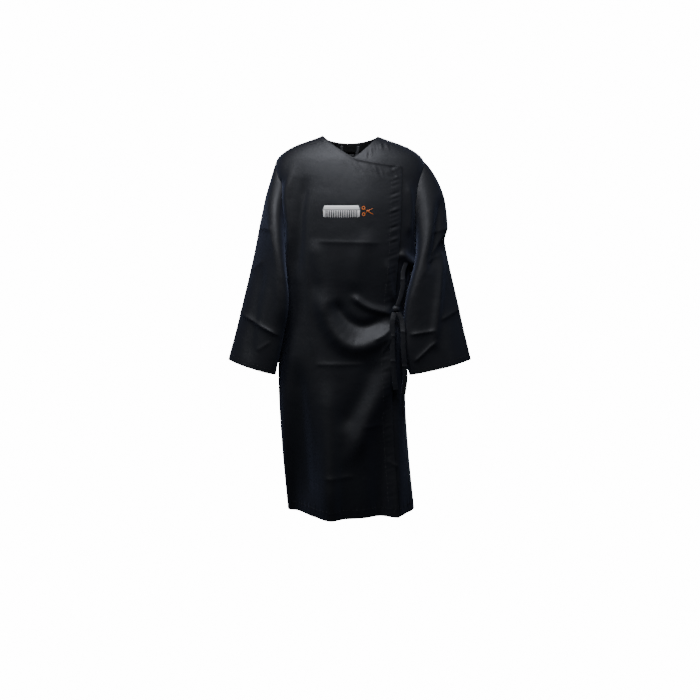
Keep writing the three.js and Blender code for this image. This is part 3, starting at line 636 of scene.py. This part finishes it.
def sleeve_normal(name, turn, down):
    step = 0.004
    around = sleeve_base(name, turn + step, down) - sleeve_base(name, turn - step, down)
    low, high = np.minimum(down + step, 1), np.maximum(down - step, 0)
    along = sleeve_base(name, turn, low) - sleeve_base(name, turn, high)
    normal = np.cross(around, along)
    normal = normal / np.maximum(np.linalg.norm(normal, axis=-1, keepdims=True), 1e-9)
    middle = (sleeve_base(name, 0 * turn, down) + sleeve_base(name, 0 * turn + math.pi, down)) / 2
    outwards = np.sign(np.sum(normal * (sleeve_base(name, turn, down) - middle), axis=-1))
    return normal * outwards[..., None]


def sleeve_surface(name, turn, down, layer=0.0):
    turn, down = np.broadcast_arrays(np.asarray(turn, float), np.asarray(down, float))
    point = sleeve_base(name, turn, down)
    normal = sleeve_normal(name, turn, down)
    x, z = point[..., 0], point[..., 2]
    front = smooth(-np.sin(turn), -0.1, 0.25)
    relief = np.zeros(np.shape(x))
    for route, width, height, crisp in SLEEVE_FOLDS[name]:
        relief = relief + front * fold(x, z, route, width, height, crisp)
    relief = relief + ripple(x + turn * 0.02, z, 21 + SIDE_OF[name], 1.7 * MM, 0.2, 0.05)
    calm = smooth(down, 0.0, 0.10)
    return point + normal * (relief * calm + layer)[..., None]


def blend_sleeve(piece):
    """Bakes a sleeve piece's placing into its mesh."""
    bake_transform(piece)


def make_sleeve(name):
    def place(across, down):
        return sleeve_surface(name, mix(-math.pi, math.pi, across), down)

    shape = cloth_grid(150, 170, place, 0.42, 0.58)
    bmesh.ops.remove_doubles(shape, verts=shape.verts, dist=0.05 * MM)
    bmesh.ops.recalc_face_normals(shape, faces=shape.faces)
    facing_out(shape, (SIDE_OF[name] * 0.25, -0.02, 0))
    piece = finish_mesh(shape, f"{name}_sleeve_cloth", TAFFETA, None, CLOTH)
    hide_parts(f"{name}_sleeve")
    blend_sleeve(piece)
    return piece


right_sleeve = make_sleeve("right")
left_sleeve = make_sleeve("left")

joint = next(j for j in frame["joints"] if j["name"] == "wrap_corner_lift")
HINGE_WAY = Vector(joint["axis"])
OFF_HINGE = Vector((-HINGE_WAY.z, 0, HINGE_WAY.x)).normalized()
if OFF_HINGE.x < 0:
    OFF_HINGE.negate()


def blend_corner(piece):
    """Bakes the placing of a piece of the outer front into its mesh."""
    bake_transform(piece)


blend_corner(outer_front)

# ------------------------------------------------------------------ hems, facings and stitching
TURNED = 1.3 * MM              # a turned layer lies this far inside the panel it is sewn to
STITCH = 2.6 * MM
STITCH_PITCH = 3.4 * MM
STITCH_WIDTH = 0.45 * MM
STRIP_THICKNESS = 0.5 * MM


def strip(name, columns, rows, place, replaced, body=ROOT, material=TAFFETA):
    """A narrow turned or bound edge, made like the panels."""
    shape = cloth_grid(columns, rows, place, 0.9, 0.03)
    facing_out(shape, INSIDE)
    piece = finish_mesh(shape, name, material, body, STRIP_THICKNESS)
    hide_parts(*replaced)
    return piece


def stitch_row(name, line, out, body=ROOT):
    """Lockstitches along a line of points; out gives the way off the cloth at each point."""
    line, out = np.array(line), np.array(out)
    steps = np.linalg.norm(np.diff(line, axis=0), axis=1)
    walked = np.concatenate([[0], np.cumsum(steps)])
    shape = bmesh.new()
    for at in np.arange(STITCH_PITCH, walked[-1] - STITCH_PITCH, STITCH_PITCH):
        middle, ahead, off = (
            Vector([np.interp(where, walked, values[:, k]) for k in range(3)])
            for where, values in ((at, line), (at + 0.5 * MM, line), (at, out)))
        way = (ahead - middle).normalized()
        off = (off - way * off.dot(way)).normalized()
        side = way.cross(off)
        turn = Matrix((way, side, off)).transposed().to_4x4()
        size = Matrix.Diagonal((STITCH, STITCH_WIDTH, STITCH_WIDTH * 0.8, 1))
        place = Matrix.Translation(middle + off * 0.1 * MM)
        bmesh.ops.create_cube(shape, size=1, matrix=place @ turn @ size)
    return finish_mesh(shape, name, THREAD, body, rounded=False)


def panel_line(angles, heights, layer):
    """Points on a panel's outer face and the way off it."""
    low = panel_surface(angles, heights, layer + CLOTH * 0.5)
    high = panel_surface(angles, heights, layer + CLOTH * 0.5 + 2 * MM)
    return low, high - low


def outer_at(angle, z):
    """Where a layer turned in behind the outer front lies."""
    return panel_surface(angle, z, outer_layer(angle, z) - TURNED)


def inner_at(angle, z):
    return panel_surface(angle, z, inner_layer(angle, z) - TURNED)


def back_at(angle, z):
    return panel_surface(one_turn(angle), z, -TURNED)


def turned_hem(low_angle, high_angle, at):
    def place(across, down):
        z = HEM_Z + mix(HEM_HEIGHT, 0.6 * MM, down)
        angle = mix(low_angle(z), high_angle(z), across)
        return at(angle, z)

    return place


def at_degrees(value):
    return lambda z: value + 0 * z


outer_hem = strip("outer_front_hem_turning", 150, 5,
                  turned_hem(at_degrees(-89.0), lambda z: outer_edge_angle(z) - 0.6, outer_at),
                  ["outer_front_hem", "corner_hem"], None)
inner_hem = strip("inner_front_hem_turning", 110, 5,
                  turned_hem(at_degrees(INNER_EDGE + 0.6), at_degrees(89.0), inner_at),
                  ["inner_front_hem"])
back_hem = strip("back_hem_turning", 140, 5,
                 turned_hem(at_degrees(91.0), at_degrees(269.0), back_at),
                 ["back_hem"])


def edge_strip(edge_x, at, top):
    """A facing turned in along a front edge."""
    def place(across, down):
        z = mix(top, HEM_Z + HEM_HEIGHT, down)
        x = edge_x(z) - mix(BAND_WIDTH, 0.8 * MM, across)
        return at(angle_at(x, z), z)

    return place


BAND_TOP = -0.084 - FACING_WIDTH
outer_band = strip("outer_edge_facing", 6, 260, edge_strip(outer_edge_x, outer_at, BAND_TOP),
                   ["outer_edge_band", "corner_edge_band"], None)
inner_edge_x = through([(z, float(body_point(np.array(INNER_EDGE), np.array(z))[0]))
                        for z in (-0.10, -0.30, -0.50, -0.70, -0.90, HEM_Z)])
inner_band = strip("inner_edge_facing", 6, 220,
                   edge_strip(lambda z: inner_edge_x(z) + BAND_WIDTH, inner_at, -0.125),
                   ["inner_edge_band"])


def neck_strip(line, from_angle, to_angle, at):
    """A facing or tape turned in along a neckline."""
    def place(across, down):
        angle = one_turn(mix(from_angle, to_angle, across))
        z = neck_height(line, angle, 0.7 * MM + down * FACING_WIDTH)
        return at(angle, z)

    return place


outer_facing = strip("outer_neck_facing_cloth", 110, 6, neck_strip(outer_neck, -88.0, 38.8, outer_at),
                     ["outer_neck_facing"])
inner_facing = strip("inner_neck_facing_cloth", 110, 6, neck_strip(inner_neck, -37.0, 88.0, inner_at),
                     ["inner_neck_facing"])
# The back neck tape's near-black colour is painted shade inside the back of the neck.
neck_tape = strip("back_neck_tape_cloth", 110, 6, neck_strip(back_neck, 92.0, 268.0, back_at),
                  ["back_neck_tape"], ROOT, BLACK_TAPE_WITH_PAINTED_SHADE)


def side_seam(name, side, high, low):
    """The two seam allowances pressed open inside a shoulder or side seam."""
    def place(across, down):
        z = mix(high, low, down)
        angle = side * (90 + mix(-3.4, 3.4, across))
        return panel_surface(angle, z, -TURNED * 1.2)

    strip(f"{name}_overlock", 4, 90, place, [name], ROOT, THREAD)


def armhole_seam(name, side):
    def place(across, down):
        turn = mix(-math.pi, math.pi, across)
        ring = 1 - 0.06 * down
        arm_z = ARM_MIDDLE + ARM_HALF * np.cos(turn) * ring
        arm_y = SIDE_Y + ARMHOLE_DEPTH * np.sin(turn) * ring
        reach = body_reach(side + 0 * arm_y, arm_y, arm_z) - mix(1.5 * MM, 7 * MM, down)
        return np.stack([side * reach, arm_y, arm_z], axis=-1)

    shape = cloth_grid(90, 3, place, 0.5, 0.01)
    bmesh.ops.remove_doubles(shape, verts=shape.verts, dist=0.05 * MM)
    piece = finish_mesh(shape, f"{name}_overlock", THREAD, ROOT, STRIP_THICKNESS)
    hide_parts(name)


for side_name, side in SIDE_OF.items():
    side_seam(f"{side_name}_shoulder_seam", side, -0.006, SHOULDER_Z + 0.004)
    side_seam(f"{side_name}_side_seam", side, ARMHOLE_Z - 0.008, HEM_Z + 2 * MM)
    armhole_seam(f"{side_name}_armhole_seam", side)


def cuff_parts(name):
    """The cuff's turned hem, the underarm seam's overlocked edge and the hem's stitches."""
    hem_top = 1 - CUFF_HEM / SLEEVE_LENGTH

    def hem_place(across, down):
        return sleeve_surface(name, mix(-math.pi, math.pi, across), mix(hem_top, 0.999, down), -TURNED)

    hem = cloth_grid(120, 4, hem_place, 0.4, 0.02)
    bmesh.ops.remove_doubles(hem, verts=hem.verts, dist=0.05 * MM)
    hem_piece = finish_mesh(hem, f"{name}_cuff_turning", TAFFETA, None, STRIP_THICKNESS)
    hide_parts(f"{name}_cuff_hem")

    def seam_place(across, down):
        turn = math.pi + mix(-0.09, 0.09, across)
        return sleeve_surface(name, turn, mix(0.06, 0.985, down), -TURNED * 1.3)

    seam_piece = finish_mesh(cloth_grid(3, 120, seam_place, 0.01, 0.5), f"{name}_underarm_overlock",
                             THREAD, None, STRIP_THICKNESS)
    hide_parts(f"{name}_underarm_seam")
    turns = np.linspace(-math.pi, math.pi, 260)
    low = sleeve_surface(name, turns, hem_top, CLOTH / 2)
    high = sleeve_surface(name, turns, hem_top, CLOTH / 2 + 2 * MM)
    thread = stitch_row(f"{name}_cuff_stitches", low, high - low, None)
    for piece in (hem_piece, seam_piece, thread):
        blend_sleeve(piece)
    return [hem_piece, seam_piece, thread]


right_cuff = cuff_parts("right")
left_cuff = cuff_parts("left")



def panel_stitches(name, angles, heights, layer_of, body=ROOT):
    """A row of stitches on a panel's outer face, through places given by angle and height."""
    low, off = panel_line(angles, heights, layer_of(angles, heights))
    return stitch_row(name, low, off, body)


def plain_layer(angle, z):
    return 0 * z


HEM_STITCH_Z = HEM_Z + HEM_HEIGHT
outer_angles = np.linspace(-88.0, float(outer_edge_angle(np.array(HEM_STITCH_Z))), 420)
outer_hem_thread = panel_stitches("outer_front_hem_stitches", outer_angles, np.full(420, HEM_STITCH_Z),
                                  outer_layer, None)
inner_hem_thread = panel_stitches("inner_front_hem_stitches", np.linspace(INNER_EDGE, 88, 300),
                                  np.full(300, HEM_STITCH_Z), inner_layer)
back_hem_thread = panel_stitches("back_hem_stitches", one_turn(np.linspace(91, 269, 400)),
                                 np.full(400, HEM_STITCH_Z), plain_layer)
edge_heights = np.linspace(BAND_TOP, HEM_STITCH_Z, 500)
edge_angles = angle_at(outer_edge_x(edge_heights) - BAND_WIDTH, edge_heights)
edge_thread = panel_stitches("outer_edge_stitches", edge_angles, edge_heights, outer_layer, None)
neck_angles = np.linspace(-88, 36, 400)
neck_thread = panel_stitches("outer_neck_stitches", neck_angles,
                             neck_height(outer_neck, neck_angles, FACING_WIDTH), outer_layer)
inner_neck_angles = np.linspace(30, 88, 200)
inner_neck_thread = panel_stitches("inner_neck_stitches", inner_neck_angles,
                                   neck_height(inner_neck, inner_neck_angles, FACING_WIDTH), inner_layer)
for piece in (outer_hem, outer_band, outer_hem_thread, edge_thread):
    blend_corner(piece)

# ------------------------------------------------------------------ tie
SIDE_TIE = [(0.158, -0.058, -0.340), (0.152, -0.063, -0.354), (0.146, -0.069, -0.376),
            (0.146, -0.074, -0.405), (0.140, -0.078, -0.437), (0.130, -0.083, -0.464)]
OUTER_TAIL = [(0.122, -0.084, -0.482), (0.117, -0.090, -0.505), (0.116, -0.093, -0.538),
              (0.118, -0.094, -0.599), (0.124, -0.095, -0.679), (0.128, -0.094, -0.698)]
SIDE_TAIL = [(0.133, -0.084, -0.482), (0.143, -0.087, -0.505), (0.146, -0.094, -0.538),
             (0.147, -0.096, -0.579), (0.153, -0.095, -0.659), (0.148, -0.094, -0.708)]


def ribbon(name, route, wide, creases=()):
    """A folded and edge-stitched tape; its width lies along one way, with bends where it was creased."""
    line = curve(route, 60)
    wide = Vector(wide).normalized()
    steps = np.linalg.norm(np.diff(line, axis=0), axis=1)
    length = float(steps.sum())

    def place(across, down):
        shares = np.linspace(0, 1, len(line))
        at = np.stack([np.interp(down, shares, line[:, k]) for k in range(3)], axis=-1)
        bow = 0.7 * MM * np.cos((across - 0.5) * math.pi) + 0.5 * MM * np.sin(down * length / 0.021 + 1.3)
        for where in creases:
            bow = bow + 1.6 * MM * np.exp(-np.abs(down - where) * length / (3 * MM))
        lift = np.array([0, -1.0, 0])
        turn = 0.22 * np.sin(down * length / 0.05)
        way = np.array(wide) + turn[..., None] * lift
        return at + ((across - 0.5) * (TIE_WIDTH - 0.8 * MM))[..., None] * way + bow[..., None] * lift

    shape = cloth_grid(10, 110, place, TIE_WIDTH, length)
    piece = finish_mesh(shape, name, FOLDED_TAPE, ROOT, TIE_THICKNESS)
    return piece


side_tie = ribbon("side_tie_ribbon", SIDE_TIE, (0.85, 0.45, 0.1), (0.42,))
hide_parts("side_tie")
outer_tail = ribbon("outer_tie_tail_ribbon", OUTER_TAIL, (1, 0.12, 0), (0.30, 0.62))
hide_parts("outer_tie_tail")
side_tail = ribbon("side_tie_tail_ribbon", SIDE_TAIL, (1, 0.2, 0), (0.24, 0.66))
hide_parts("side_tie_tail")


def knot_wrap(shape, way, tilt, radii, width, puff):
    """One turn of the tape round the knot."""
    start = len(shape.verts)
    bmesh.ops.create_grid(shape, x_segments=48, y_segments=10, size=0.5)
    shape.verts.ensure_lookup_table()
    facing = Vector(way).to_track_quat("Z", "X").to_matrix().to_4x4()
    turn = Matrix.Rotation(math.radians(tilt), 4, "Y") @ facing
    for vert in shape.verts[start:]:
        round_it = (vert.co.x + 0.5) * 2 * math.pi
        across = vert.co.y
        bulge = puff * math.cos(across * math.pi) + 0.5 * MM * math.sin(round_it * 3 + across * 5)
        x = (radii[0] + bulge) * math.cos(round_it)
        y = (radii[1] + bulge) * math.sin(round_it)
        vert.co = KNOT + turn @ Vector((x, y, across * width))


knot_shape = bmesh.new()
knot_wrap(knot_shape, (0, 0, 1), 22, (7.0 * MM, 4.5 * MM), 15 * MM, 2.6 * MM)
knot_wrap(knot_shape, (1, 0, 0.25), 0, (6.0 * MM, 3.6 * MM), 17 * MM, 2.6 * MM)
knot_wrap(knot_shape, (0.7, 0, -0.7), 0, (5.0 * MM, 4.6 * MM), 13 * MM, 2.4 * MM)
bmesh.ops.remove_doubles(knot_shape, verts=knot_shape.verts, dist=0.02 * MM)
knot = finish_mesh(knot_shape, "tie_knot_wraps", FOLDED_TAPE, ROOT, 0.9 * MM)
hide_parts("tie_knot")

# ------------------------------------------------------------------ hanger loop and labels
LOOP_LOW, LOOP_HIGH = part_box("hanger_loop")
LOOP_TAPE = 8 * MM


def loop_place(across, down):
    turn = mix(-math.pi, 0, down)
    radius = (LOOP_HIGH.x - LOOP_LOW.x - LOOP_TAPE) / 2
    fall = LOOP_HIGH.z - LOOP_LOW.z - LOOP_TAPE / 2
    wider = 1 + (across - 0.5) * LOOP_TAPE / radius
    x = radius * np.cos(turn) * wider
    z = LOOP_HIGH.z + fall * np.sin(turn) * (1 + (across - 0.5) * LOOP_TAPE / fall)
    y = (LOOP_LOW.y + LOOP_HIGH.y) / 2 + 0.3 * MM * np.cos(across * math.pi)
    return np.stack([x, y + 0 * x, z], axis=-1)


loop = finish_mesh(cloth_grid(4, 60, loop_place, LOOP_TAPE, 0.1), "hanger_loop_tape", FOLDED_TAPE,
                   "hanger_loop_body", 0.7 * MM)
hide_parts("hanger_loop")

SIZE_LOW, SIZE_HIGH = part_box("size_label")


def size_label_place(across, down):
    x = mix(SIZE_LOW.x, SIZE_HIGH.x, across)
    z = mix(SIZE_HIGH.z, SIZE_LOW.z, down)
    angle = 180 - angle_at(x, z)
    return panel_surface(angle, z, -TURNED - 1.2 * MM - 0.6 * MM * np.sin(down * math.pi))


LABEL_THICKNESS = 0.3 * MM
size_label = finish_mesh(cloth_grid(12, 14, size_label_place, 0.024, 0.03), "size_label_tape", LABEL,
                         ROOT, LABEL_THICKNESS)
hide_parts("size_label")
CARE_LOW, CARE_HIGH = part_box("care_label")


def care_label_place(across, down):
    x = mix(CARE_HIGH.x - 0.5 * MM, CARE_LOW.x + 0.5 * MM, across)
    y = mix(CARE_HIGH.y - 0.5 * MM, CARE_LOW.y + 0.5 * MM, across) + 1.5 * MM * np.sin(across * math.pi)
    z = mix(CARE_HIGH.z, CARE_LOW.z, down)
    return np.stack([x, y, z], axis=-1)


care_label = finish_mesh(cloth_grid(12, 16, care_label_place, 0.03, 0.05), "care_label_tape", LABEL,
                         ROOT, LABEL_THICKNESS)
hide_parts("care_label")

# ------------------------------------------------------------------ chest emblem: a comb and scissors
FILM_OVER = CLOTH / 2 + 0.22 * MM
FILM_THICKNESS = 0.18 * MM


def film_patch(shape, corners, columns=8, rows=3):
    """A flat four-cornered patch of film, bent onto the chest. Corners go round as (x, z)."""
    a, b, c, d = (np.array(p) for p in corners)
    start = len(shape.verts)
    bmesh.ops.create_grid(shape, x_segments=columns, y_segments=rows, size=0.5)
    shape.verts.ensure_lookup_table()
    for vert in shape.verts[start:]:
        u, v = vert.co.x + 0.5, vert.co.y + 0.5
        spot = (a * (1 - u) + b * u) * (1 - v) + (d * (1 - u) + c * u) * v
        x, z = np.array(spot[0]), np.array(spot[1])
        angle = angle_at(x, z)
        vert.co = panel_surface(angle, z, outer_layer(angle, z) + FILM_OVER)


def film_ring(shape, centre, inner, outer, squash=1.0, count=28):
    for k in range(count):
        turns = [2 * math.pi * (k + step) / count for step in (0, 1)]
        corners = ((inner, turns[0]), (outer, turns[0]), (outer, turns[1]), (inner, turns[1]))
        spots = [(centre[0] + r * math.cos(t), centre[1] + r * squash * math.sin(t)) for r, t in corners]
        film_patch(shape, spots, 1, 1)


COMB_LEFT, COMB_RIGHT = -0.073, 0.027
COMB_TOP, COMB_SPINE, COMB_TIPS = -0.190, -0.203, -0.223
comb = bmesh.new()
film_patch(comb, [(COMB_LEFT + 0.004, COMB_TOP), (COMB_RIGHT - 0.004, COMB_TOP),
                  (COMB_RIGHT, COMB_SPINE), (COMB_LEFT, COMB_SPINE)], 30, 3)
TEETH = 21
for k in range(TEETH):
    share = k / (TEETH - 1)
    left = mix(COMB_LEFT, COMB_RIGHT - 0.0028, share)
    thick = 0.0058 if k in (0, TEETH - 1) else 0.0026
    left = left - (thick - 0.0028 if k == TEETH - 1 else 0)
    tip = COMB_TIPS + 0.0015 * (k in (0, TEETH - 1))
    film_patch(comb, [(left, COMB_SPINE), (left + thick, COMB_SPINE), (left + thick * 0.72, tip),
                      (left + thick * 0.28, tip)], 1, 5)
comb_film = finish_mesh(comb, "comb_emblem_film", WHITE_FILM, ROOT, FILM_THICKNESS)
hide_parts("chest_emblem")

scissors = bmesh.new()
PIVOT = (0.047, -0.205)
for flip in (-1, 1):
    tip = (0.064, PIVOT[1] - flip * 0.0085)
    eye = (0.0365, PIVOT[1] + flip * 0.0085)
    film_ring(scissors, eye, 0.0026, 0.0045, 1.15)
    shank = [(eye[0] + 0.0035, eye[1] - flip * 0.0008), (PIVOT[0], PIVOT[1] - 0.0015 * flip),
             (PIVOT[0] + 0.001, PIVOT[1] + 0.0015 * flip), (eye[0] + 0.0042, eye[1] - flip * 0.0036)]
    blade = [(PIVOT[0] - 0.001, PIVOT[1] + 0.0016 * flip), tip, (tip[0] - 0.001, tip[1] - 0.0002),
             (PIVOT[0] + 0.0005, PIVOT[1] - 0.0022 * flip)]
    film_patch(scissors, shank, 4, 1)
    film_patch(scissors, blade, 8, 1)
scissors_film = finish_mesh(scissors, "scissors_emblem_film", ORANGE_FILM, ROOT,
                            FILM_THICKNESS)
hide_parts("chest_emblem_accent")

# ------------------------------------------------------------------ camera, light and floor
def aim(thing, target):
    thing.rotation_euler = (Vector(target) - thing.location).to_track_quat("-Z", "Y").to_euler()


def soft_light(name, place, target, size, power):
    data = bpy.data.lights.new(name, "AREA")
    data.shape = "SQUARE"
    data.size = size
    data.energy = power
    data.color = linear("#f2f5ff")[:3]
    lamp = bpy.data.objects.new(name, data)
    lamp.location = place
    bpy.context.scene.collection.objects.link(lamp)
    aim(lamp, target)


CAMERA = (0, -3.0, -0.19)
CAMERA_AIM = (0, 0, -0.598)
FLOOR_Z = -1.442               # where a wearer would stand
WHITE_GLOW = 15.0              # floor and backdrop, as only the camera sees them
camera = bpy.data.objects.new("camera", bpy.data.cameras.new("camera"))
camera.data.lens = 54.6
camera.data.sensor_width = 36
camera.location = CAMERA
bpy.context.scene.collection.objects.link(camera)
aim(camera, CAMERA_AIM)
bpy.context.scene.camera = camera

floor_shape = bmesh.new()
bmesh.ops.create_grid(floor_shape, x_segments=1, y_segments=1, size=14)
bmesh.ops.translate(floor_shape, verts=floor_shape.verts, vec=(0, 0, FLOOR_Z))
floor_mesh = bpy.data.meshes.new("floor")
floor_shape.to_mesh(floor_mesh)
floor_shape.free()
floor = bpy.data.objects.new("floor", floor_mesh)
bpy.context.scene.collection.objects.link(floor)
floor_paint, floor_tree = new_material("white_studio_floor")
floor_seen = node(floor_tree, "ShaderNodeLightPath")
floor_shader = node(floor_tree, "ShaderNodeBsdfPrincipled",
                    {"Base Color": linear("#1a1a1b"), "Roughness": 0.9})
floor_glow = node(floor_tree, "ShaderNodeEmission", {"Color": linear("#ffffff"), "Strength": WHITE_GLOW})
floor_both = node(floor_tree, "ShaderNodeMixShader", {},
                  {0: floor_seen.outputs["Is Camera Ray"], 1: floor_shader.outputs["BSDF"],
                   2: floor_glow.outputs["Emission"]})
node(floor_tree, "ShaderNodeOutputMaterial", {}, {"Surface": floor_both.outputs["Shader"]})
floor_mesh.materials.append(floor_paint)

# A white backdrop to the eye that lights the cloth only dimly.
world = bpy.data.worlds.new("studio")
world.use_nodes = True
backdrop = world.node_tree
backdrop.nodes.clear()
seen = node(backdrop, "ShaderNodeLightPath")
dim = node(backdrop, "ShaderNodeBackground", {"Color": linear("#eef1f6"), "Strength": 0.014})
bright = node(backdrop, "ShaderNodeBackground", {"Color": linear("#ffffff"), "Strength": WHITE_GLOW})
both = node(backdrop, "ShaderNodeMixShader", {},
            {0: seen.outputs["Is Camera Ray"], 1: dim.outputs["Background"],
             2: bright.outputs["Background"]})
node(backdrop, "ShaderNodeOutputWorld", {}, {"Surface": both.outputs["Shader"]})
bpy.context.scene.world = world
soft_light("key", (-0.15, -0.88, 1.02), (0, 0, -0.18), 0.9, 34)
soft_light("back_key", (0.5, 2.0, 0.0), (0, 0, -0.45), 1.2, 38)
soft_light("left_fill", (-1.8, -1.3, 0.6), (-0.25, 0, -0.25), 0.8, 10)
soft_light("right_fill", (1.8, -1.2, 0.4), (0.25, 0, -0.4), 0.9, 3.5)
